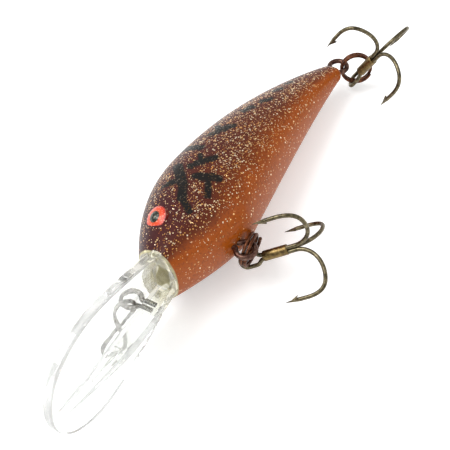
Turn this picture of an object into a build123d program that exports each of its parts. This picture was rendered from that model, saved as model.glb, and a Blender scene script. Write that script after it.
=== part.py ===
from build123d import *
import math
import os

os.makedirs("parts", exist_ok=True)

# Deep-diving crankbait lying on its right flank with both treble hooks slack.
# Shared frame: +X towards the lip tip, +Y towards the belly side, +Z up from the table.

# ---- driving dimensions, millimetres and degrees ----
FLANK_ROLL = 5.6          # belly side lifted from a flat rest on the flank
NOSE_PITCH = 4.5          # nose lifted by the wide lip
TAIL_HEIGHT = 5.942       # tail end of the body axis above the table
SHIFT_X = -42.64          # centres the whole lure on the frame origin
SHIFT_Y = -6.65

BODY_LENGTH = 65.5        # tail face to nose face
TAIL_TOP = 2.9            # back and belly heights measured from the body axis
BACK_HEIGHT = 13.7
NOSE_TOP = 4.2
TAIL_BOTTOM = -1.2
BELLY_DEPTH = -9.1
NOSE_BOTTOM = -4.6
TAIL_HALF_WIDTH = 1.9
HALF_WIDTH = 8.8
DEEPEST_STATION = 45.0
SHELL_WALL = 1.6
CAVITY_REAR = 11.0
CAVITY_FRONT = 55.0

LIP_DROOP = 4.0           # lip droops this much below the body axis
LIP_ROOT_HEIGHT = -1.1
LIP_LENGTH = 35.0         # nose face to lip tip
LIP_HALF_WIDTH = 12.9
LIP_ROOT_HALF_WIDTH = 7.6
LIP_THICKNESS = 2.0
KEEL_THICKNESS = 2.8
KEEL_DEPTH = 4.3
THROAT_LENGTH = 2.6
TANG_LENGTH = 8.0
TANG_WIDTH = 6.4

HANGER_WIRE = 1.1
HANGER_LOOP = 1.9         # centreline radius of a hanger eye
LEG_OFFSET = 0.68         # half the spacing of the two embedded legs
NECK_RADIUS = 0.8
LEG_LENGTH = 6.4
TIE_WIRE = 1.0
TIE_LEG = 4.0
HANGER_STATION = 51.8
TIE_STATION = 7.0         # line tie position along the lip from the nose face

RING_WIRE = 0.72
RING_RADIUS = 3.2         # centreline radius of a split ring
RING_PITCH = 0.76
HOOK_WIRE = 0.85
HOOK_OFFSET = 0.53        # shank wire centre to treble axis
HOOK_GAPE = 9.75          # treble axis to point
BEND_DEPTH = 3.53         # bend bottom beyond the crotch
POINT_BACK = 5.4          # point behind the crotch
POINT_LENGTH = 2.7
EYE_LOOP = 1.3            # centreline half width of the long hook eye
EYE_STRAIGHT = 1.6
EYE_END = 11.3            # crotch to the centre of the eye end arc
SHORT_SHANK = 7.4
BRAZE_LENGTH = 5.2
SNAP_WIRE = 0.8
SNAP_HALF_LENGTH = 6.2
SNAP_HALF_WIDTH = 2.3
FISH_EYE_RADIUS = 2.45
PUPIL_RADIUS = 1.15
BALLAST_RADIUS = 2.6
BALLAST_LENGTH = 8.0
BALL_RADIUS = 1.6
BALL_PLAY = 1.2           # rolling travel each way
CELL_GAP = 0.2
PIN_RADIUS = 0.9
LINK_GAP = 0.18

# resting attitude of the lure axes
ROLL = math.radians(FLANK_ROLL)
PITCH = math.radians(NOSE_PITCH)
FORWARD = Vector(math.cos(PITCH), 0, math.sin(PITCH))
FLAT_LEFT = Vector(-math.sin(PITCH), 0, math.cos(PITCH))
DORSAL = Vector(0, -1, 0) * math.cos(ROLL) - FLAT_LEFT * math.sin(ROLL)
LURE = Plane(origin=(SHIFT_X, SHIFT_Y, TAIL_HEIGHT), x_dir=FORWARD, z_dir=DORSAL)
MIDPLANE = Plane(origin=LURE.origin, x_dir=LURE.x_dir, z_dir=LURE.y_dir)


def at(x, y, z):
    """Point given along the body axis, towards the left flank and towards the back."""
    return LURE.from_local_coords(Vector(x, y, z))


def aim(x, y, z):
    """Direction given in the lure axes."""
    return (LURE.x_dir * x + LURE.y_dir * y + LURE.z_dir * z).normalized()


def back_height(x):
    """Height of the back above the body axis at station x."""
    crest = DEEPEST_STATION - 2
    if x < crest:
        return TAIL_TOP + (BACK_HEIGHT - TAIL_TOP) * math.sin(math.pi / 2 * (x / crest) ** 0.85)
    return BACK_HEIGHT - (BACK_HEIGHT - NOSE_TOP) * ((x - crest) / (BODY_LENGTH - crest)) ** 2


def belly_height(x):
    """Height of the belly line, negative below the body axis."""
    keel = DEEPEST_STATION + 2
    if x < keel:
        return TAIL_BOTTOM + (BELLY_DEPTH - TAIL_BOTTOM) * (x / keel) ** 1.3
    return BELLY_DEPTH + (NOSE_BOTTOM - BELLY_DEPTH) * ((x - keel) / (BODY_LENGTH - keel)) ** 1.6


def half_breadth(x):
    """Half width of the body at station x."""
    if x < DEEPEST_STATION:
        return TAIL_HALF_WIDTH + (HALF_WIDTH - TAIL_HALF_WIDTH) * math.sin(math.pi / 2 * x / DEEPEST_STATION)
    return HALF_WIDTH * math.sqrt(1 - ((x - DEEPEST_STATION) / 29.4) ** 2)


def flank_point(x, inset, angle):
    """Point (left, up) of the cross-section at an angle above the widest line."""
    top = back_height(x) - inset
    bottom = belly_height(x) + inset
    centre = 0.375 * top + 0.625 * bottom
    rise = top - centre if angle > 0 else centre - bottom
    across = abs(math.cos(angle)) ** 0.93
    up = math.copysign(abs(math.sin(angle)) ** 0.93, angle)
    return ((half_breadth(x) - inset) * across, centre + rise * up)


def flank_points(x, inset):
    """Six steps of the cross-section from the back round the flank to the belly."""
    steps = [math.pi / 2 - math.pi / 6 * k for k in range(7)]
    inner = [flank_point(x, inset, a) for a in steps[1:6]]
    return [(0, back_height(x) - inset)] + inner + [(0, belly_height(x) + inset)]


def slice_plane(x):
    """Cross-section plane at station x, drawn left across and up."""
    return Plane(origin=at(x, 0, 0), x_dir=LURE.y_dir, z_dir=LURE.x_dir)


# ---- hollow left half without its locating pins ----
with BuildPart() as hollow:
    for share in (0.0, 0.16, 0.34, 0.56, 0.78, 1.0):
        station = CAVITY_REAR + (CAVITY_FRONT - CAVITY_REAR) * share
        with BuildSketch(slice_plane(station)):
            with BuildLine():
                Spline(*flank_points(station, SHELL_WALL), tangents=[(1, 0), (-1, 0)])
                Line((0, belly_height(station) + SHELL_WALL), (0, back_height(station) - SHELL_WALL))
            make_face()
    loft()
    # belly block holding the hook hanger and the ballast
    with Locations(Plane(origin=at(45, 6, -4.9), x_dir=LURE.x_dir, z_dir=LURE.z_dir)):
        Box(25, 14, 10.2, mode=Mode.SUBTRACT)
    # rattle cage
    with Locations(Plane(origin=at(22.4, 0, 0.2), x_dir=LURE.x_dir, z_dir=LURE.z_dir)):
        Box(21.6, 6.8, 11.2, mode=Mode.SUBTRACT)
    # post behind the middle locating pin
    with Locations(Plane(origin=at(40, 4, 8.6), x_dir=LURE.x_dir, z_dir=LURE.y_dir)):
        Cylinder(2.4, 8.4, mode=Mode.SUBTRACT)

with BuildPart() as half_blank:
    for share in (0.0, 0.04, 0.12, 0.24, 0.39, 0.54, 0.69, 0.83, 0.93, 1.0):
        station = BODY_LENGTH * share
        with BuildSketch(slice_plane(station)):
            with BuildLine():
                Spline(*flank_points(station, 0), tangents=[(1, 0), (-1, 0)])
                Line((0, belly_height(station)), (0, back_height(station)))
            make_face()
    loft()
    add(hollow.part, mode=Mode.SUBTRACT)


# ---- wire hangers, the line tie and the lip ----
def omega(plane, leg):
    """Wire eye standing on a surface: plane x points outward, y runs across the legs."""
    reach = HANGER_LOOP + NECK_RADIUS
    spread = LEG_OFFSET + NECK_RADIUS
    loop_at = math.sqrt(reach ** 2 - spread ** 2)
    touch = Vector(loop_at, -spread) * (NECK_RADIUS / reach) + Vector(0, spread)
    turn = (math.atan2(-spread, loop_at) - math.pi / 2) / 2
    mid = Vector(0, spread) + Vector(math.cos(turn), math.sin(turn)) * NECK_RADIUS
    with BuildLine(plane) as path:
        Line((-leg, LEG_OFFSET), (0, LEG_OFFSET))
        ThreePointArc((0, LEG_OFFSET), (mid.X, mid.Y), (touch.X, touch.Y))
        ThreePointArc((touch.X, touch.Y), (loop_at + HANGER_LOOP, 0), (touch.X, -touch.Y))
        ThreePointArc((touch.X, -touch.Y), (mid.X, -mid.Y), (0, -LEG_OFFSET))
        Line((0, -LEG_OFFSET), (-leg, -LEG_OFFSET))
    return path


LOOP_OUT = math.sqrt((HANGER_LOOP + NECK_RADIUS) ** 2 - (LEG_OFFSET + NECK_RADIUS) ** 2)
BELLY_SEAT = at(HANGER_STATION, 0, belly_height(HANGER_STATION))
TAIL_SEAT = at(0, 0, 0.95)
LIP_DIR = aim(math.cos(math.radians(LIP_DROOP)), 0, -math.sin(math.radians(LIP_DROOP)))
LIP_UP = aim(math.sin(math.radians(LIP_DROOP)), 0, math.cos(math.radians(LIP_DROOP)))
LIP = Plane(origin=at(BODY_LENGTH, 0, LIP_ROOT_HEIGHT), x_dir=LIP_DIR, z_dir=LIP_UP)
KEEL = Plane(origin=LIP.origin, x_dir=LIP_DIR, z_dir=LIP_DIR.cross(LIP_UP))
TANG_SEAT = Plane(origin=at(BODY_LENGTH - TANG_LENGTH / 2, 0, -0.6), x_dir=LURE.x_dir, z_dir=LURE.z_dir)
TIE_SEAT = LIP.origin + LIP_DIR * TIE_STATION + LIP_UP * (LIP_THICKNESS / 2)

with BuildPart() as belly_hanger_wire:
    belly_eye = omega(Plane(origin=BELLY_SEAT, x_dir=aim(0, 0, -1), z_dir=LURE.y_dir), LEG_LENGTH)
    with BuildSketch(Plane(origin=belly_eye.wire() @ 0, z_dir=belly_eye.wire() % 0)) as rod:
        Circle(HANGER_WIRE / 2)
    sweep(sections=rod.sketch, path=belly_eye.wire())
belly_hanger_wire.part.label = "belly_hanger_wire"
export_step(belly_hanger_wire.part, "parts/belly_hanger_wire.step")

with BuildPart() as tail_hanger_wire:
    tail_eye = omega(Plane(origin=TAIL_SEAT, x_dir=aim(-1, 0, 0), z_dir=LURE.y_dir), LEG_LENGTH)
    with BuildSketch(Plane(origin=tail_eye.wire() @ 0, z_dir=tail_eye.wire() % 0)) as rod:
        Circle(HANGER_WIRE / 2)
    sweep(sections=rod.sketch, path=tail_eye.wire())
tail_hanger_wire.part.label = "tail_hanger_wire"
export_step(tail_hanger_wire.part, "parts/tail_hanger_wire.step")

with BuildPart() as line_tie_wire:
    tie_eye = omega(Plane(origin=TIE_SEAT, x_dir=LIP_UP, z_dir=LURE.y_dir), TIE_LEG)
    with BuildSketch(Plane(origin=tie_eye.wire() @ 0, z_dir=tie_eye.wire() % 0)) as rod:
        Circle(TIE_WIRE / 2)
    sweep(sections=rod.sketch, path=tie_eye.wire())
line_tie_wire.part.label = "line_tie_wire"
export_step(line_tie_wire.part, "parts/line_tie_wire.step")

with BuildPart() as diving_lip:
    with BuildSketch(LIP):
        with BuildLine():
            Spline(
                (0, LIP_ROOT_HALF_WIDTH),
                (LIP_LENGTH * 0.3, LIP_HALF_WIDTH * 0.86),
                (LIP_LENGTH * 0.64, LIP_HALF_WIDTH),
                (LIP_LENGTH * 0.91, LIP_HALF_WIDTH * 0.66),
                (LIP_LENGTH, 0),
                (LIP_LENGTH * 0.91, -LIP_HALF_WIDTH * 0.66),
                (LIP_LENGTH * 0.64, -LIP_HALF_WIDTH),
                (LIP_LENGTH * 0.3, -LIP_HALF_WIDTH * 0.86),
                (0, -LIP_ROOT_HALF_WIDTH),
                tangents=[(1, 0.45), (-1, 0.45)],
            )
            Line((0, -LIP_ROOT_HALF_WIDTH), (0, LIP_ROOT_HALF_WIDTH))
        make_face()
    extrude(amount=LIP_THICKNESS / 2, both=True)
    rims = edges().filter_by(GeomType.BSPLINE)
    fillet(rims, 0.45)
    # keel under the centre line, deepest under the line tie
    with BuildSketch(KEEL):
        with BuildLine():
            Polyline(
                (LIP_LENGTH - 1.4, -1.0),
                (LIP_LENGTH - 1.4, 0),
                (0, 0),
                (0, 0.7 - KEEL_DEPTH),
            )
            Spline(
                (0, 0.7 - KEEL_DEPTH),
                (LIP_LENGTH * 0.42, -KEEL_DEPTH),
                (LIP_LENGTH - 1.4, -1.0),
                tangents=[(1, -0.12), (1, 0.2)],
            )
        make_face()
    extrude(amount=KEEL_THICKNESS / 2, both=True)
    # root trimmed flush with the nose face
    with Locations(Plane(origin=at(BODY_LENGTH - 5, 0, 0), x_dir=LURE.x_dir, z_dir=LURE.z_dir)):
        Box(10, 40, 30, mode=Mode.SUBTRACT)
    # throat carrying the shape of the nose on into the lip
    with BuildSketch(slice_plane(BODY_LENGTH)):
        with BuildLine():
            Spline(*flank_points(BODY_LENGTH, 0.15), tangents=[(1, 0), (-1, 0)])
            Line((0, belly_height(BODY_LENGTH) + 0.15), (0, back_height(BODY_LENGTH) - 0.15))
        make_face()
        mirror(about=Plane.YZ)
    with BuildSketch(slice_plane(BODY_LENGTH + THROAT_LENGTH)):
        with BuildLine():
            Spline(*flank_points(BODY_LENGTH, 1.5), tangents=[(1, 0), (-1, 0)])
            Line((0, belly_height(BODY_LENGTH) + 1.5), (0, back_height(BODY_LENGTH) - 1.5))
        make_face()
        mirror(about=Plane.YZ)
    loft()
    # tongue let into the nose
    with Locations(TANG_SEAT):
        Box(TANG_LENGTH, TANG_WIDTH, 4.6)
    # long hollows that lighten both sides of the keel towards the tip
    for side in (1, -1):
        with BuildSketch(KEEL.offset(side * (KEEL_THICKNESS / 2 - 0.55))):
            with BuildLine():
                Polyline((17.5, -1.7), (17.5, 0.9 - KEEL_DEPTH), (29.0, -1.7), (17.5, -1.7))
            make_face()
            fillet(vertices(), 0.3)
        extrude(amount=side * 2, mode=Mode.SUBTRACT)
    add(line_tie_wire.part, mode=Mode.SUBTRACT)
diving_lip.part.label = "diving_lip"
export_step(diving_lip.part, "parts/diving_lip.step")

# ---- ballast and rattle balls ----
BALLAST_SEAT = at(39, 0, -3.2)
CELL_RADIUS = BALL_RADIUS + CELL_GAP
CELL_LENGTH = 2 * (BALL_RADIUS + BALL_PLAY + 0.1)
CELL_SEATS = [at(16.2 + 6.8 * k, 0, 2.6) for k in range(3)]

with BuildPart() as belly_ballast:
    with Locations(Plane(origin=BALLAST_SEAT, x_dir=LURE.x_dir, z_dir=LURE.y_dir)):
        Cylinder(BALLAST_RADIUS, BALLAST_LENGTH)
    chamfer(edges().filter_by(GeomType.CIRCLE), 0.4)
belly_ballast.part.label = "belly_ballast"
export_step(belly_ballast.part, "parts/belly_ballast.step")

for number, seat in enumerate(CELL_SEATS, start=1):
    with BuildPart() as rattle_ball:
        with Locations(seat):
            Sphere(BALL_RADIUS)
    rattle_ball.part.label = f"rattle_ball_{number}"
    export_step(rattle_ball.part, f"parts/rattle_ball_{number}.step")

# ---- body halves ----
EYE_AT = flank_point(58.7, 0, math.radians(30))
EYE_OUT = aim(0.47, 0.79, 0.38)
EYE = Plane(origin=at(58.7, EYE_AT[0], EYE_AT[1]), z_dir=EYE_OUT)
EYE_SIDE = Plane(origin=EYE.origin, x_dir=EYE_OUT, z_dir=EYE_OUT.cross(LURE.z_dir))
PIN_SEATS = [at(60, 0, 4.5), at(8.5, 0, 2.8), at(40, 0, 8.6)]

with BuildPart() as half_bored:
    add(half_blank.part)
    add(belly_hanger_wire.part, mode=Mode.SUBTRACT)
    add(tail_hanger_wire.part, mode=Mode.SUBTRACT)
    with Locations(EYE):
        Cylinder(FISH_EYE_RADIUS + 0.03, 2.1, mode=Mode.SUBTRACT)
    with Locations(TANG_SEAT):
        Box(TANG_LENGTH + 0.1, TANG_WIDTH + 0.1, 4.7, mode=Mode.SUBTRACT)
    with Locations(Plane(origin=BALLAST_SEAT, x_dir=LURE.x_dir, z_dir=LURE.y_dir)):
        Cylinder(BALLAST_RADIUS + 0.03, BALLAST_LENGTH + 0.1, mode=Mode.SUBTRACT)
    for seat in CELL_SEATS:
        with Locations(Plane(origin=seat, x_dir=LURE.y_dir, z_dir=LURE.x_dir)):
            Cylinder(CELL_RADIUS, CELL_LENGTH, mode=Mode.SUBTRACT)

with BuildPart() as body_shell_left:
    add(half_bored.part)
    for seat in PIN_SEATS:
        with Locations(Plane(origin=seat, x_dir=LURE.x_dir, z_dir=LURE.y_dir)):
            Cylinder(PIN_RADIUS, 3.0)
body_shell_left.part.label = "body_shell_left"
export_step(body_shell_left.part, "parts/body_shell_left.step")

with BuildPart() as body_shell_right:
    mirror(half_bored.part, about=MIDPLANE)
    for seat in PIN_SEATS:
        with Locations(Plane(origin=seat, x_dir=LURE.x_dir, z_dir=LURE.y_dir)):
            Cylinder(PIN_RADIUS + 0.04, 3.4, mode=Mode.SUBTRACT)
body_shell_right.part.label = "body_shell_right"
export_step(body_shell_right.part, "parts/body_shell_right.step")

# ---- domed eyes ----
with BuildPart() as eye_iris_left:
    with BuildSketch(EYE_SIDE):
        with BuildLine():
            Polyline((0.7, 0), (-1.05, 0), (-1.05, FISH_EYE_RADIUS), (0.05, FISH_EYE_RADIUS))
            TangentArc((0.7, 0), (0.05, FISH_EYE_RADIUS), tangent=(0, 1))
        make_face()
    revolve(axis=Axis(EYE.origin, EYE_SIDE.x_dir))
    with Locations(EYE):
        Cylinder(PUPIL_RADIUS, 3, align=(Align.CENTER, Align.CENTER, Align.MIN), mode=Mode.SUBTRACT)
eye_iris_left.part.label = "eye_iris_left"
export_step(eye_iris_left.part, "parts/eye_iris_left.step")

with BuildPart() as eye_pupil_left:
    with BuildSketch(EYE_SIDE):
        with BuildLine():
            Polyline((0.95, 0), (0.02, 0), (0.02, PUPIL_RADIUS - 0.02), (0.62, PUPIL_RADIUS - 0.02))
            TangentArc((0.95, 0), (0.62, PUPIL_RADIUS - 0.02), tangent=(0, 1))
        make_face()
    revolve(axis=Axis(EYE.origin, EYE_SIDE.x_dir))
eye_pupil_left.part.label = "eye_pupil_left"
export_step(eye_pupil_left.part, "parts/eye_pupil_left.step")

with BuildPart() as eye_iris_right:
    mirror(eye_iris_left.part, about=MIDPLANE)
eye_iris_right.part.label = "eye_iris_right"
export_step(eye_iris_right.part, "parts/eye_iris_right.step")

with BuildPart() as eye_pupil_right:
    mirror(eye_pupil_left.part, about=MIDPLANE)
eye_pupil_right.part.label = "eye_pupil_right"
export_step(eye_pupil_right.part, "parts/eye_pupil_right.step")

# ---- split rings: how each hangs, from its hanger wire to the hook eye ----
RING_REACH = RING_RADIUS - RING_WIRE / 2 - HANGER_WIRE / 2 - LINK_GAP
BELLY_WIRE = BELLY_SEAT - LURE.z_dir * LOOP_OUT - LURE.x_dir * HANGER_LOOP
BELLY_LINK = aim(0.050, -0.988, 0.146)
TAIL_WIRE = TAIL_SEAT - LURE.x_dir * (LOOP_OUT + 0.82) - LURE.z_dir * 1.71
TAIL_LINK = aim(-0.552, -0.156, -0.819)
RING_SEATS = {
    "belly": Plane(origin=BELLY_WIRE + BELLY_LINK * RING_REACH, z_dir=aim(0.172, 0.152, 0.973)),
    "tail": Plane(origin=TAIL_WIRE + TAIL_LINK * RING_REACH, z_dir=aim(0.805, 0.159, -0.572)),
}

for place, seat in RING_SEATS.items():
    with BuildPart() as split_ring:
        with BuildLine() as coil:
            turns = 1.94 * RING_PITCH
            foot = seat.origin - seat.z_dir * (turns / 2)
            Helix(RING_PITCH, turns, RING_RADIUS, center=foot, direction=seat.z_dir)
        with BuildSketch(Plane(origin=coil.wire() @ 0, z_dir=coil.wire() % 0)) as rod:
            Circle(RING_WIRE / 2)
        sweep(sections=rod.sketch, path=coil.wire(), is_frenet=True)
    split_ring.part.label = f"{place}_split_ring"
    export_step(split_ring.part, f"parts/{place}_split_ring.step")


# ---- treble hook, drawn upright with its crotch at the origin and its eye below ----
def polar(angle, radius, along):
    """Point around the shank, away from its axis, along it from the crotch."""
    turn = math.radians(angle)
    return Vector(radius * math.cos(turn), radius * math.sin(turn), along)


def chord(across, along):
    """Point in the plane of the hook eye, shared by the two wires of the double hook."""
    return polar(300, HOOK_OFFSET / 2, along) + polar(30, across, 0)


def bend_poles(angle):
    """Poles of the two curves of a bend, shank to belly and belly to the straight behind the point."""
    belly = 0.6 * HOOK_GAPE
    inner = [(HOOK_OFFSET, -1.0), (HOOK_OFFSET, 1.2), (0.27 * HOOK_GAPE, BEND_DEPTH), (belly, BEND_DEPTH)]
    outer = [(belly, BEND_DEPTH), (0.88 * HOOK_GAPE, BEND_DEPTH), (SPEAR_OFFSET, 2.2), (SPEAR_OFFSET, -1.2)]
    return [[polar(angle, r, u) for r, u in poles] for poles in (inner, outer)]


SPEAR_OFFSET = HOOK_GAPE + 0.12
HALF_CHORD = HOOK_OFFSET * math.sin(math.radians(60))
EYE_NECK = 1.2
NECK_ACROSS = HALF_CHORD + EYE_NECK
NECK_BACK = math.sqrt((EYE_LOOP + EYE_NECK) ** 2 - NECK_ACROSS ** 2)
EYE_ROOT = EYE_STRAIGHT - EYE_END
NECK_END = EYE_ROOT + NECK_BACK
LOOP_SHARE = EYE_LOOP / (EYE_LOOP + EYE_NECK)
HALF_TURN = math.atan2(NECK_BACK, NECK_ACROSS) / 2
NECK_MID = (NECK_ACROSS - EYE_NECK * math.cos(HALF_TURN), NECK_END - EYE_NECK * math.sin(HALF_TURN))
EYE_SHOULDER = (NECK_ACROSS * LOOP_SHARE, EYE_ROOT + NECK_BACK * LOOP_SHARE)
EYE_HIP = (EYE_LOOP * math.cos(HALF_TURN), EYE_ROOT + EYE_LOOP * math.sin(HALF_TURN))


with BuildPart() as hook_double:
    # one wire from point to point, with the long hook eye in its middle
    with BuildLine() as wire:
        Line(polar(240, SPEAR_OFFSET, POINT_LENGTH - POINT_BACK), polar(240, SPEAR_OFFSET, -1.2))
        for poles in bend_poles(240)[::-1]:
            Bezier(*poles[::-1])
        Line(polar(240, HOOK_OFFSET, -1.0), chord(-HALF_CHORD, NECK_END))
        ThreePointArc(
            chord(-HALF_CHORD, NECK_END),
            chord(-NECK_MID[0], NECK_MID[1]),
            chord(-EYE_SHOULDER[0], EYE_SHOULDER[1]),
        )
        ThreePointArc(
            chord(-EYE_SHOULDER[0], EYE_SHOULDER[1]),
            chord(-EYE_HIP[0], EYE_HIP[1]),
            chord(-EYE_LOOP, EYE_ROOT),
        )
        Line(chord(-EYE_LOOP, EYE_ROOT), chord(-EYE_LOOP, -EYE_END))
        ThreePointArc(chord(-EYE_LOOP, -EYE_END), chord(0, -EYE_END - EYE_LOOP), chord(EYE_LOOP, -EYE_END))
        Line(chord(EYE_LOOP, -EYE_END), chord(EYE_LOOP, EYE_ROOT))
        ThreePointArc(
            chord(EYE_LOOP, EYE_ROOT),
            chord(EYE_HIP[0], EYE_HIP[1]),
            chord(EYE_SHOULDER[0], EYE_SHOULDER[1]),
        )
        ThreePointArc(
            chord(EYE_SHOULDER[0], EYE_SHOULDER[1]),
            chord(NECK_MID[0], NECK_MID[1]),
            chord(HALF_CHORD, NECK_END),
        )
        Line(chord(HALF_CHORD, NECK_END), polar(0, HOOK_OFFSET, -1.0))
        for poles in bend_poles(0):
            Bezier(*poles)
        Line(polar(0, SPEAR_OFFSET, -1.2), polar(0, SPEAR_OFFSET, POINT_LENGTH - POINT_BACK))
    with BuildSketch(Plane(origin=wire.wire() @ 0, z_dir=wire.wire() % 0)) as rod:
        Circle(HOOK_WIRE / 2)
    sweep(sections=rod.sketch, path=wire.wire())
    for angle in (240, 0):
        outward = polar(angle, 1, 0)
        spear = polar(angle, SPEAR_OFFSET, POINT_LENGTH - POINT_BACK)
        with Locations(Plane(origin=spear, x_dir=outward, z_dir=(0, 0, -1))):
            Cone(HOOK_WIRE / 2, 0.06, POINT_LENGTH, align=(Align.CENTER, Align.CENTER, Align.MIN))
        with BuildSketch(Plane(origin=(0, 0, 0), x_dir=outward, z_dir=outward.cross(Vector(0, 0, 1)))):
            with BuildLine():
                Polyline((9.78, -4.4), (9.02, -2.8), (9.78, -3.2), (9.78, -4.4))
            make_face()
        extrude(amount=0.19, both=True)

with BuildPart() as hook_single:
    with BuildLine() as wire:
        Line(polar(120, HOOK_OFFSET, -SHORT_SHANK), polar(120, HOOK_OFFSET, -1.0))
        for poles in bend_poles(120):
            Bezier(*poles)
        Line(polar(120, SPEAR_OFFSET, -1.2), polar(120, SPEAR_OFFSET, POINT_LENGTH - POINT_BACK))
    with BuildSketch(Plane(origin=wire.wire() @ 0, z_dir=wire.wire() % 0)) as rod:
        Circle(HOOK_WIRE / 2)
    sweep(sections=rod.sketch, path=wire.wire())
    outward = polar(120, 1, 0)
    with Locations(Plane(origin=wire.wire() @ 1, x_dir=outward, z_dir=(0, 0, -1))):
        Cone(HOOK_WIRE / 2, 0.06, POINT_LENGTH, align=(Align.CENTER, Align.CENTER, Align.MIN))
    with BuildSketch(Plane(origin=(0, 0, 0), x_dir=outward, z_dir=outward.cross(Vector(0, 0, 1)))):
        with BuildLine():
            Polyline((9.78, -4.4), (9.02, -2.8), (9.78, -3.2), (9.78, -4.4))
        make_face()
    extrude(amount=0.19, both=True)

with BuildPart() as hook_braze:
    with Locations((0, 0, -2.6)):
        Cylinder(1.05, BRAZE_LENGTH, align=(Align.CENTER, Align.CENTER, Align.MAX))
    chamfer(edges().filter_by(GeomType.CIRCLE), 0.15)
    add(hook_double.part, mode=Mode.SUBTRACT)
    add(hook_single.part, mode=Mode.SUBTRACT)

# shank direction from eye to crotch, first arm, and where on its ring the hook hangs
TREBLE_AIMS = {
    "belly": (aim(-0.495, 0.406, -0.768), aim(0.596, -0.484, -0.640), aim(0.230, -0.967, 0.111)),
    "tail": (aim(-0.078, 0.861, -0.502), aim(-0.990, -0.126, -0.062), aim(0.219, -0.975, 0.037)),
}

for place, (shank, first_arm, hang) in TREBLE_AIMS.items():
    eye_seat = RING_SEATS[place].origin + hang * RING_RADIUS
    bare = Plane(origin=eye_seat, x_dir=first_arm, z_dir=shank)
    crotch = bare.from_local_coords(polar(120, HOOK_OFFSET / 2, EYE_END))
    treble = Plane(origin=crotch, x_dir=first_arm, z_dir=shank)

    with BuildPart() as treble_double:
        with Locations(treble):
            add(hook_double.part)
    treble_double.part.label = f"{place}_treble_double"
    export_step(treble_double.part, f"parts/{place}_treble_double.step")

    with BuildPart() as treble_single:
        with Locations(treble):
            add(hook_single.part)
    treble_single.part.label = f"{place}_treble_single"
    export_step(treble_single.part, f"parts/{place}_treble_single.step")

    with BuildPart() as treble_braze:
        with Locations(treble):
            add(hook_braze.part)
    treble_braze.part.label = f"{place}_treble_braze"
    export_step(treble_braze.part, f"parts/{place}_treble_braze.step")

# ---- line snap hanging from the tie ----
SNAP_HANG = aim(0.505, -0.859, 0.034)
SNAP_REACH = SNAP_HALF_LENGTH - SNAP_WIRE / 2 - TIE_WIRE / 2 - LINK_GAP
TIE_FRONT = TIE_SEAT + LIP_UP * LOOP_OUT + LIP_DIR * HANGER_LOOP
SNAP = Plane(origin=TIE_FRONT + SNAP_HANG * SNAP_REACH, x_dir=SNAP_HANG, z_dir=aim(-0.337, -0.162, 0.916))

with BuildPart() as line_snap:
    for half in (0, 1):
        with BuildLine() as wire:
            knots = []
            for step in range(9):
                t = math.pi * (half + step / 8)
                bow = (SNAP_HALF_LENGTH * math.sin(t), SNAP_HALF_WIDTH * math.sin(2 * t), 0.5 * math.cos(t))
                knots.append(SNAP.from_local_coords(Vector(*bow)))
            reach = SNAP_HALF_LENGTH * (1 - 2 * half)
            start = SNAP.x_dir * reach + SNAP.y_dir * (2 * SNAP_HALF_WIDTH)
            end = SNAP.x_dir * -reach + SNAP.y_dir * (2 * SNAP_HALF_WIDTH)
            Spline(*knots, tangents=[start.normalized(), end.normalized()])
        with BuildSketch(Plane(origin=wire.wire() @ 0, z_dir=wire.wire() % 0)) as rod:
            Circle(SNAP_WIRE / 2)
        sweep(sections=rod.sketch, path=wire.wire())
line_snap.part.label = "line_snap"
export_step(line_snap.part, "parts/line_snap.step")
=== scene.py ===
import bpy
import bmesh
import math
from mathutils import Matrix, Vector


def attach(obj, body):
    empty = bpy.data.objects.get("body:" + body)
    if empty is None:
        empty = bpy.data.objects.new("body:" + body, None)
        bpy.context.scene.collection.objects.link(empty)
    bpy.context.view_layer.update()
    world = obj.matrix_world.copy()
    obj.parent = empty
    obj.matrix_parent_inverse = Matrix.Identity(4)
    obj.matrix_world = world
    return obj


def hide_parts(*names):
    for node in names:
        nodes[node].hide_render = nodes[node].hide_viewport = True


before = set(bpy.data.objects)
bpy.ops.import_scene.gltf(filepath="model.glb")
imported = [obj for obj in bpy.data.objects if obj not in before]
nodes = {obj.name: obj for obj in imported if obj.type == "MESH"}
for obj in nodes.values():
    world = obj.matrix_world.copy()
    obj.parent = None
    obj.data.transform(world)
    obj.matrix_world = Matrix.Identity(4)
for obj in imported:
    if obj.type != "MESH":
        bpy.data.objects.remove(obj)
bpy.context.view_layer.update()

# ---- the lure's own axes, as it lies on its flank ----
FLANK_ROLL = math.radians(5.6)
NOSE_PITCH = math.radians(4.5)
TAIL_END = Vector((-42.64, -6.65, 5.942)) / 1000
FORWARD = Vector((math.cos(NOSE_PITCH), 0, math.sin(NOSE_PITCH)))
FLAT_LEFT = Vector((-math.sin(NOSE_PITCH), 0, math.cos(NOSE_PITCH)))
DORSAL = Vector((0, -1, 0)) * math.cos(FLANK_ROLL) - FLAT_LEFT * math.sin(FLANK_ROLL)
LEFT = DORSAL.cross(FORWARD)
LURE_TURN = Matrix((FORWARD, LEFT, DORSAL)).transposed()


def at(x, y, z):
    """Point of the row frame, in metres, from millimetres forward, left and up the back."""
    return TAIL_END + LURE_TURN @ Vector((x, y, z)) / 1000


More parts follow.
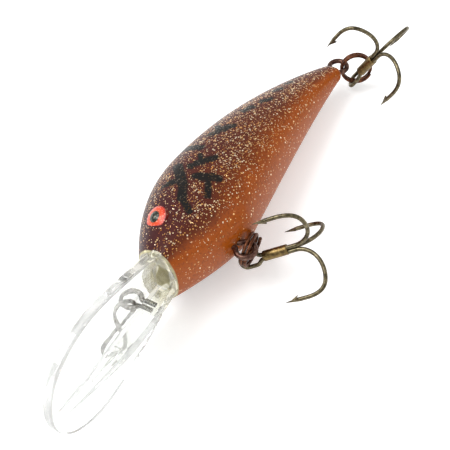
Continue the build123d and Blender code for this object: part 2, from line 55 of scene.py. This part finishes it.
# ---- camera, from above the belly and ahead of the lip ----
camera = bpy.data.objects.new("camera", bpy.data.cameras.new("camera"))
bpy.context.scene.collection.objects.link(camera)
bpy.context.scene.camera = camera
camera.data.lens = 80.9
camera.data.sensor_width = 36
camera.data.clip_start = 0.01
RIGHT = LURE_TURN @ Vector((-0.570, -0.058, -0.819))
BACK = (LURE_TURN @ Vector((0.504, 0.762, -0.405))).normalized()
RIGHT = (RIGHT - BACK * RIGHT.dot(BACK)).normalized()
UP = BACK.cross(RIGHT)
CAMERA_PLACE = at(147.9, 149.8, -83.6)
camera.matrix_world = Matrix.Translation(CAMERA_PLACE) @ Matrix((RIGHT, UP, BACK)).transposed().to_4x4()


# ---- materials ----
def linear(code):
    """sRGB hex to a linear colour."""
    parts = [int(code[k : k + 2], 16) / 255 for k in (0, 2, 4)]
    return tuple(c / 12.92 if c <= 0.04045 else ((c + 0.055) / 1.055) ** 2.4 for c in parts) + (1.0,)


def add(mat, kind, inputs=None, **settings):
    """Adds a node. inputs maps a socket's name or number to a value or to another node's output."""
    node = mat.node_tree.nodes.new("ShaderNode" + kind)
    for key, value in settings.items():
        setattr(node, key, value)
    for key, value in (inputs or {}).items():
        if isinstance(value, bpy.types.NodeSocket):
            mat.node_tree.links.new(value, node.inputs[key])
        else:
            node.inputs[key].default_value = value
    return node


def material(name):
    """An empty node material with its principled shader."""
    mat = bpy.data.materials.new(name)
    mat.use_nodes = True
    return mat, mat.node_tree.nodes["Principled BSDF"]


def link(mat, output, shader, socket):
    mat.node_tree.links.new(output, shader.inputs[socket])


def ramp(mat, value, stops, mode="LINEAR"):
    """Colour ramp from a list of (place, hex) stops."""
    node = add(mat, "ValToRGB", {"Fac": value})
    node.color_ramp.interpolation = mode
    while len(node.color_ramp.elements) < len(stops):
        node.color_ramp.elements.new(0.5)
    for element, (place, code) in zip(node.color_ramp.elements, stops):
        element.position = place
        element.color = linear(code)
    return node.outputs["Color"]


def maths(mat, operation, a, b=0.0, clamp=False):
    return add(mat, "Math", {0: a, 1: b}, operation=operation, use_clamp=clamp).outputs[0]


def smooth(mat, value, low, high):
    """0 below low, 1 above high."""
    limits = {"Value": value, "From Min": low, "From Max": high}
    return add(mat, "MapRange", limits, interpolation_type="SMOOTHSTEP").outputs["Result"]


def blend_colour(mat, share, a, b, mode="MIX"):
    node = add(mat, "Mix", data_type="RGBA", blend_type=mode)
    for key, value in ((0, share), (6, a), (7, b)):
        if isinstance(value, bpy.types.NodeSocket):
            mat.node_tree.links.new(value, node.inputs[key])
        else:
            node.inputs[key].default_value = value
    return node.outputs[2]


def lure_place(mat):
    """Position in millimetres along the lure's own axes."""
    here = add(mat, "TexCoord").outputs["Object"]
    placing = {"Vector": here, "Location": TAIL_END, "Rotation": LURE_TURN.to_euler()}
    turned = add(mat, "Mapping", placing, vector_type="TEXTURE")
    return add(mat, "VectorMath", {0: turned.outputs[0], "Scale": 1000.0}, operation="SCALE").outputs[0]


def noise(mat, place, scale, detail=3.0, rough=0.5):
    """Noise whose scale is in cells per millimetre."""
    settings = {"Vector": place, "Scale": scale, "Detail": detail, "Roughness": rough}
    return add(mat, "TexNoise", settings).outputs["Fac"]


# Craw marks brushed on both flanks: start (forward, up), end (forward, up), half width, in mm.
CRAW_MARKS = (
    ((46.0, 8.8), (50.2, 4.3), 1.05),
    ((50.2, 4.3), (53.2, 2.3), 0.97),
    ((53.2, 2.3), (55.0, -0.7), 0.71),
    ((49.0, 5.5), (51.4, 8.0), 0.67),
    ((47.4, 3.1), (45.9, -0.9), 0.97),
    ((46.7, 0.7), (50.2, -1.6), 0.71),
    ((45.2, 6.0), (41.4, 3.1), 0.88),
    ((43.4, 4.6), (42.1, 6.1), 0.55),
    ((40.2, 11.5), (39.8, 7.6), 0.88),
    ((35.4, 8.3), (31.6, 5.8), 0.92),
    ((34.0, 7.6), (32.4, 8.8), 0.60),
    ((25.8, 6.9), (24.0, 5.9), 0.77),
    ((21.4, 5.3), (19.7, 4.4), 0.69),
    ((16.2, 5.6), (14.8, 5.0), 0.62),
    ((12.3, 5.3), (11.1, 4.7), 0.55),
    ((8.1, 5.4), (7.1, 5.1), 0.46),
)


def stroke(mat, x, z, start, end, half):
    """1 within a brushed stroke between two points, 0 away from it."""
    run = Vector(end) - Vector(start)
    size = run.length_squared
    dx = maths(mat, "SUBTRACT", x, start[0])
    dz = maths(mat, "SUBTRACT", z, start[1])
    along = maths(mat, "MULTIPLY", dx, run.x / size)
    share = {0: dz, 1: run.y / size, 2: along}
    along = add(mat, "Math", share, operation="MULTIPLY_ADD", use_clamp=True).outputs[0]
    off_x = add(mat, "Math", {0: along, 1: -run.x, 2: dx}, operation="MULTIPLY_ADD").outputs[0]
    off_z = add(mat, "Math", {0: along, 1: -run.y, 2: dz}, operation="MULTIPLY_ADD").outputs[0]
    squares = {0: off_z, 1: off_z, 2: maths(mat, "MULTIPLY", off_x, off_x)}
    square = add(mat, "Math", squares, operation="MULTIPLY_ADD")
    return smooth(mat, maths(mat, "SQRT", square.outputs[0]), half + 0.35, half - 0.30)


def shell_paint():
    """Sprayed lacquer over a moulded ABS body: candy brown over orange, glitter in the clear coat."""
    mat, shader = material("sprayed_glitter_lacquer_on_abs")
    place = lure_place(mat)
    axes = add(mat, "SeparateXYZ", {0: place})
    x, z = axes.outputs[0], axes.outputs[2]
    normal = add(mat, "NewGeometry").outputs["Normal"]
    upness = add(mat, "VectorMath", {0: normal, 1: DORSAL}, operation="DOT_PRODUCT").outputs["Value"]
    cloud = noise(mat, place, 0.16, 3.0, 0.55)
    drift = maths(mat, "MULTIPLY", maths(mat, "SUBTRACT", cloud, 0.5), 0.55)
    tail_lift = maths(mat, "MULTIPLY", smooth(mat, x, 40.0, 0.0), -0.22)
    cheek = maths(mat, "MULTIPLY", smooth(mat, x, 46.0, 56.0), smooth(mat, upness, -0.92, -0.45))
    cheek = maths(mat, "MULTIPLY", cheek, 0.34)
    shade = maths(mat, "ADD", maths(mat, "ADD", upness, drift), maths(mat, "ADD", tail_lift, cheek))
    shade = add(mat, "MapRange", {"Value": shade, "From Min": -1.0, "From Max": 1.0}).outputs["Result"]
    # orange under the belly, through brown, to maroon along the back
    belly_to_back = [
        (0.0, "A04C04"),
        (0.14, "984604"),
        (0.27, "783404"),
        (0.41, "5A2408"),
        (0.55, "4C1C0E"),
        (0.76, "431614"),
        (1.0, "341218"),
    ]
    coat = ramp(mat, shade, belly_to_back)
    # spray speckle, fine mottling of the candy colour
    speck = noise(mat, place, 2.4, 4.0, 0.7)
    speckled = blend_colour(mat, 0.55, coat, linear("2A0F08"))
    coat = blend_colour(mat, smooth(mat, speck, 0.48, 0.72), coat, speckled)
    # glitter flakes, 0.2 to 0.4 mm across, dense on the back and the rear flank
    flakes = add(mat, "TexVoronoi", {"Vector": place, "Scale": 2.5, "Randomness": 1.0})
    tint = add(mat, "SeparateColor", {0: flakes.outputs["Color"]})
    spread = noise(mat, place, 0.10, 2.0, 0.5)
    back_half = smooth(mat, upness, -1.25, -0.05)
    rear_half = smooth(mat, x, 68.0, 34.0)
    reach = maths(mat, "ADD", maths(mat, "MULTIPLY", rear_half, 0.50), 0.50)
    amount = maths(mat, "MULTIPLY", maths(mat, "MULTIPLY", back_half, reach), spread)
    odds = maths(mat, "ADD", maths(mat, "MULTIPLY", amount, 0.80), 0.04)
    chosen = maths(mat, "GREATER_THAN", odds, tint.outputs[0])
    radius = maths(mat, "ADD", maths(mat, "MULTIPLY", tint.outputs[1], 0.22), 0.26)
    inside = maths(mat, "LESS_THAN", flakes.outputs["Distance"], radius)
    flake = maths(mat, "MULTIPLY", chosen, inside)
    golds = [(0.0, "C07830"), (0.35, "E8AC62"), (0.6, "FBD8A0"), (0.8, "FFEFD0"), (1.0, "D08848")]
    gold = ramp(mat, tint.outputs[2], golds)
    # a second, finer sprinkle, about 0.16 mm across
    dust = add(mat, "TexVoronoi", {"Vector": place, "Scale": 5.2, "Randomness": 1.0})
    dust_tint = add(mat, "SeparateColor", {0: dust.outputs["Color"]})
    dust_on = maths(mat, "GREATER_THAN", maths(mat, "MULTIPLY", amount, 0.38), dust_tint.outputs[0])
    dust_in = maths(mat, "LESS_THAN", dust.outputs["Distance"], 0.42)
    flake = maths(mat, "MAXIMUM", flake, maths(mat, "MULTIPLY", dust_on, dust_in))
    # craw marks under the coat
    wobble = noise(mat, place, 0.75, 3.0, 0.6)
    shift = maths(mat, "MULTIPLY", maths(mat, "SUBTRACT", wobble, 0.5), 1.6)
    wx = maths(mat, "ADD", x, shift)
    wz = maths(mat, "SUBTRACT", z, shift)
    marks = None
    for start, end, half in CRAW_MARKS:
        one = stroke(mat, wx, wz, start, end, half)
        marks = one if marks is None else maths(mat, "MAXIMUM", marks, one)
    marks = maths(mat, "MULTIPLY", marks, 0.96)
    coat = blend_colour(mat, marks, coat, linear("060A08"))
    bare_of_marks = maths(mat, "SUBTRACT", 1.0, maths(mat, "MULTIPLY", marks, 0.93))
    colour = blend_colour(mat, maths(mat, "MULTIPLY", flake, bare_of_marks), coat, gold)
    # unpainted rim at the nose edge, where the clear coat shows the yellowish base
    rim = smooth(mat, maths(mat, "ADD", x, maths(mat, "MULTIPLY", drift, 0.8)), 65.05, 65.30)
    stain = noise(mat, place, 0.45, 4.0, 0.6)
    bare = ramp(mat, stain, [(0.30, "8C8460"), (0.52, "B4AC88"), (0.72, "CFC9AC")])
    colour = blend_colour(mat, rim, colour, bare)
    link(mat, colour, shader, "Base Color")
    link(mat, maths(mat, "MULTIPLY", flake, 0.85), shader, "Metallic")
    link(mat, maths(mat, "SUBTRACT", 0.46, maths(mat, "MULTIPLY", flake, 0.18)), shader, "Roughness")
    # each flake lies at its own tilt
    random_turn = {0: flakes.outputs["Color"], 1: (0.5, 0.5, 0.5)}
    tilt = add(mat, "VectorMath", random_turn, operation="SUBTRACT").outputs[0]
    on_flakes = {0: tilt, "Scale": maths(mat, "MULTIPLY", flake, 0.9)}
    tilt = add(mat, "VectorMath", on_flakes, operation="SCALE").outputs[0]
    leaning = add(mat, "VectorMath", {0: normal, 1: tilt}, operation="ADD").outputs[0]
    leaning = add(mat, "VectorMath", {0: leaning}, operation="NORMALIZE").outputs[0]
    link(mat, leaning, shader, "Normal")
    # orange peel of the clear coat, waves of about 1.5 mm
    peel = noise(mat, place, 0.65, 2.0, 0.4)
    bump = add(mat, "Bump", {"Height": peel, "Strength": 0.05, "Distance": 0.0003})
    link(mat, bump.outputs[0], shader, "Coat Normal")
    shader.inputs["Coat Weight"].default_value = 0.22
    shader.inputs["Coat Roughness"].default_value = 0.14
    shader.inputs["Coat IOR"].default_value = 1.45
    shader.inputs["Specular IOR Level"].default_value = 0.12
    return mat


def clear_plastic():
    """Injection-moulded polycarbonate, polished: clear with a faint smoky green and fine scuffs."""
    mat, shader = material("moulded_clear_polycarbonate")
    place = lure_place(mat)
    # scuffs run along the lip
    lengthways = add(mat, "VectorMath", {0: place, 1: (0.9, 5.0, 5.0)}, operation="MULTIPLY").outputs[0]
    scuff = noise(mat, lengthways, 0.7, 5.0, 0.7)
    worn = maths(mat, "MULTIPLY", smooth(mat, scuff, 0.55, 0.85), 0.16)
    link(mat, maths(mat, "ADD", worn, 0.02), shader, "Roughness")
    waves = noise(mat, place, 0.22, 2.0, 0.4)
    bump = add(mat, "Bump", {"Height": waves, "Strength": 0.10, "Distance": 0.0008})
    link(mat, bump.outputs[0], shader, "Normal")
    axes = add(mat, "SeparateXYZ", {0: place})
    colour = ramp(mat, smooth(mat, axes.outputs[0], 72.0, 65.0), [(0.0, "F5F7F4"), (1.0, "D2CDB0")])
    link(mat, colour, shader, "Base Color")
    shader.inputs["Transmission Weight"].default_value = 1.0
    shader.inputs["IOR"].default_value = 1.42
    shader.inputs["Alpha"].default_value = 0.85
    return mat


def wire_metal(name, dark, mid, light, rough, grain=1.6):
    """Drawn or turned metal with tarnish: three tones, in stains about half a millimetre wide."""
    mat, shader = material(name)
    place = lure_place(mat)
    stain = noise(mat, place, grain, 5.0, 0.65)
    colour = ramp(mat, stain, [(0.28, dark), (0.50, mid), (0.74, light)])
    link(mat, colour, shader, "Base Color")
    link(mat, maths(mat, "ADD", maths(mat, "MULTIPLY", stain, 0.30), rough - 0.15), shader, "Roughness")
    link(mat, smooth(mat, stain, 0.20, 0.42), shader, "Metallic")
    pits = noise(mat, place, 9.0, 3.0, 0.6)
    bump = add(mat, "Bump", {"Height": pits, "Strength": 0.25, "Distance": 0.00005})
    link(mat, bump.outputs[0], shader, "Normal")
    return mat


FISH_EYE_RADIUS = 2.45  # millimetres


def eye_colour(name, centre, out, stops, coat_rough):
    """Painted eye under a domed clear drop: rings of colour round the middle with fine radial streaks."""
    mat, shader = material(name)
    here = add(mat, "TexCoord").outputs["Object"]
    away = add(mat, "VectorMath", {0: here, 1: centre}, operation="SUBTRACT").outputs[0]
    depth = add(mat, "VectorMath", {0: away, 1: out}, operation="DOT_PRODUCT").outputs["Value"]
    lift = add(mat, "VectorMath", {0: out, "Scale": depth}, operation="SCALE").outputs[0]
    flat = add(mat, "VectorMath", {0: away, 1: lift}, operation="SUBTRACT").outputs[0]
    distance = add(mat, "VectorMath", {0: flat}, operation="LENGTH").outputs["Value"]
    direction = add(mat, "VectorMath", {0: flat}, operation="NORMALIZE").outputs[0]
    streak = noise(mat, direction, 9.0, 3.0, 0.6)
    streak_push = maths(mat, "MULTIPLY", maths(mat, "SUBTRACT", streak, 0.5), 0.18)
    speck = noise(mat, here, 2600.0, 2.0, 0.6)
    share = maths(mat, "ADD", maths(mat, "MULTIPLY", distance, 1000 / FISH_EYE_RADIUS), streak_push)
    colour = ramp(mat, share, stops)
    flecked = blend_colour(mat, 0.35, colour, linear("FFF0D8"))
    colour = blend_colour(mat, smooth(mat, speck, 0.52, 0.75), colour, flecked)
    link(mat, colour, shader, "Base Color")
    link(mat, maths(mat, "MULTIPLY", smooth(mat, speck, 0.45, 0.70), 0.35), shader, "Metallic")
    shader.inputs["Roughness"].default_value = 0.35
    shader.inputs["Coat Weight"].default_value = 0.35
    shader.inputs["Coat Roughness"].default_value = coat_rough
    shader.inputs["Specular IOR Level"].default_value = 0.2
    return mat


def wear(names, mat):
    """Gives CAD nodes a finish in every material slot."""
    for name in names:
        for number in range(len(nodes[name].material_slots)):
            nodes[name].material_slots[number].material = mat


wear(["diving_lip"], clear_plastic())
stained = wire_metal("tarnished_stainless_wire", "2A1A18", "5B4038", "8A6E5E", 0.36)
wear(["belly_hanger_wire", "tail_hanger_wire"], stained)
rusted = wire_metal("rusted_flat_spring_wire", "26140F", "5A3626", "8C6044", 0.42)
wear(["belly_split_ring", "tail_split_ring"], rusted)
wear(["line_tie_wire", "line_snap"], wire_metal("dull_nickel_wire", "2E2B28", "6A665F", "A8A298", 0.26))
bronze = wire_metal("bronzed_carbon_steel", "2E2A20", "5E5642", "978C70", 0.32, 1.1)
wear([f"{end}_treble_{half}" for end in ("belly", "tail") for half in ("double", "single")], bronze)
braze = wire_metal("brazed_brass_sleeve", "3C3020", "6F5C3A", "A08A5C", 0.34, 1.4)
wear(["belly_treble_braze", "tail_treble_braze"], braze)
wear(["belly_ballast"], wire_metal("turned_steel", "6A6A6A", "8E8E8E", "B0B0B0", 0.35))
ball_steel = wire_metal("polished_ball_steel", "8A8A8A", "AAAAAA", "C4C4C4", 0.18)
wear(["rattle_ball_1", "rattle_ball_2", "rattle_ball_3"], ball_steel)
# rings of colour from the middle of the eye outwards
IRIS = [
    (0.0, "1A120C"),
    (0.44, "1A120C"),
    (0.50, "C8481C"),
    (0.72, "D84420"),
    (0.90, "C02C12"),
    (1.0, "6A140C"),
]
PUPIL = [(0.0, "0B1610"), (0.36, "122218"), (0.47, "0A0C08"), (1.0, "060806")]
for side, sign in (("left", 1), ("right", -1)):
    out = (LURE_TURN @ Vector((0.47, 0.79 * sign, 0.38))).normalized()
    centre = at(58.7, 6.81 * sign, 4.32)
    wear([f"eye_iris_{side}"], eye_colour(f"painted_iris_{side}", centre, out, IRIS, 0.22))
    wear([f"eye_pupil_{side}"], eye_colour(f"painted_pupil_{side}", centre, out, PUPIL, 0.16))

for name in nodes:
    nodes[name].select_set(False)


# ---- painted body: one smooth skin over both shells, sprayed after they were joined ----
# the same curves as the shells, in millimetres along, across and above the body axis
BODY_LENGTH = 65.5
TAIL_TOP = 2.9
BACK_HEIGHT = 13.7
NOSE_TOP = 4.2
TAIL_BOTTOM = -1.2
BELLY_DEPTH = -9.1
NOSE_BOTTOM = -4.6
TAIL_HALF_WIDTH = 1.9
HALF_WIDTH = 8.8
BACK_CREST = 43.0
BELLY_KEEL = 47.0
WIDEST_STATION = 45.0


def back_height(x):
    """Height of the back above the body axis at station x, in millimetres."""
    if x < BACK_CREST:
        return TAIL_TOP + (BACK_HEIGHT - TAIL_TOP) * math.sin(math.pi / 2 * (x / BACK_CREST) ** 0.85)
    return BACK_HEIGHT - (BACK_HEIGHT - NOSE_TOP) * ((x - BACK_CREST) / (BODY_LENGTH - BACK_CREST)) ** 2


def belly_height(x):
    """Height of the belly line, negative below the body axis."""
    if x < BELLY_KEEL:
        return TAIL_BOTTOM + (BELLY_DEPTH - TAIL_BOTTOM) * (x / BELLY_KEEL) ** 1.3
    nose_share = (x - BELLY_KEEL) / (BODY_LENGTH - BELLY_KEEL)
    return BELLY_DEPTH + (NOSE_BOTTOM - BELLY_DEPTH) * nose_share ** 1.6


def half_breadth(x):
    """Half width of the body."""
    if x < WIDEST_STATION:
        swell = math.sin(math.pi / 2 * x / WIDEST_STATION)
        return TAIL_HALF_WIDTH + (HALF_WIDTH - TAIL_HALF_WIDTH) * swell
    return HALF_WIDTH * math.sqrt(1 - ((x - WIDEST_STATION) / 29.4) ** 2)


def skin_point(x, angle, share=1.0):
    """Point of the cross-section at an angle above the widest line, drawn in by a share."""
    top = back_height(x)
    bottom = belly_height(x)
    centre = 0.375 * top + 0.625 * bottom
    rise = top - centre if math.sin(angle) > 0 else centre - bottom
    across = math.copysign(abs(math.cos(angle)) ** 0.93, math.cos(angle))
    up = math.copysign(abs(math.sin(angle)) ** 0.93, math.sin(angle))
    return at(x, half_breadth(x) * across * share, centre + rise * up * share)


def painted_body():
    """Rings from the tail face to the nose face, extruded one from the other.

    A ring is a station along the body and the share of the full section it keeps."""
    corners = 96
    rings = [(0.02, 0.30), (0.0, 0.70), (0.05, 0.93), (0.30, 1.0)]
    rings += [(0.30 + 64.90 * (k / 118), 1.0) for k in range(1, 119)]
    rings += [(65.38, 0.992), (65.49, 0.965), (65.49, 0.60), (65.49, 0.28)]
    bpy.ops.object.select_all(action="DESELECT")
    bpy.ops.mesh.primitive_circle_add(vertices=corners, radius=0.001, fill_type="NGON")
    body = bpy.context.object
    body.name = "painted_body"
    bpy.ops.object.mode_set(mode="EDIT")
    for number, (station, share) in enumerate(rings):
        if number:
            bpy.ops.mesh.extrude_region_move()
        mesh = bmesh.from_edit_mesh(body.data)
        ring = [v for v in mesh.verts if v.select]
        ring.sort(key=lambda v: v.index)
        for k, vert in enumerate(ring):
            vert.co = skin_point(station, math.tau * k / corners, share)
        bmesh.update_edit_mesh(body.data)
    bpy.ops.mesh.select_all(action="SELECT")
    bpy.ops.mesh.normals_make_consistent(inside=False)
    bpy.ops.object.mode_set(mode="OBJECT")
    bpy.ops.object.shade_smooth_by_angle(angle=math.radians(50))
    return body


body_skin = painted_body()
body_skin.data.materials.append(shell_paint())
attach(body_skin, "lure")
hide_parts("body_shell_left", "body_shell_right")

# ---- stage: plain pale floor and soft studio light ----
bpy.ops.mesh.primitive_plane_add(size=6, location=(0, 0, -0.00005))
floor = bpy.context.object
floor.name = "studio_floor"
sweep, sweep_shader = material("white_studio_paper")
sweep_shader.inputs["Base Color"].default_value = linear("F6F6F6")
sweep_shader.inputs["Roughness"].default_value = 0.9
# the paper glows a little, so that it reads white under soft light
sweep_shader.inputs["Emission Color"].default_value = (1.0, 0.985, 0.97, 1.0)
sweep_shader.inputs["Emission Strength"].default_value = 0.30
floor.data.materials.append(sweep)

world = bpy.data.worlds.new("studio")
bpy.context.scene.world = world
world.use_nodes = True
world.node_tree.nodes["Background"].inputs[0].default_value = (1, 1, 1, 1)
world.node_tree.nodes["Background"].inputs[1].default_value = 0.72
bpy.context.scene.view_settings.view_transform = "Standard"


def softbox(name, target, offset, size, power):
    """Square soft light aimed at a point."""
    light = bpy.data.objects.new(name, bpy.data.lights.new(name, "AREA"))
    bpy.context.scene.collection.objects.link(light)
    light.data.shape = "SQUARE"
    light.data.size = size
    light.data.energy = power
    light.location = target + offset
    light.rotation_euler = offset.to_track_quat("Z", "Y").to_euler()


CENTRE = Vector((0, 0, 0.01))
softbox("key", CENTRE, UP * 0.30 - RIGHT * 0.38 + BACK * 0.42, 0.40, 3.4)
softbox("fill", CENTRE, UP * 0.10 + RIGHT * 0.50 + BACK * 0.40, 0.50, 0.5)
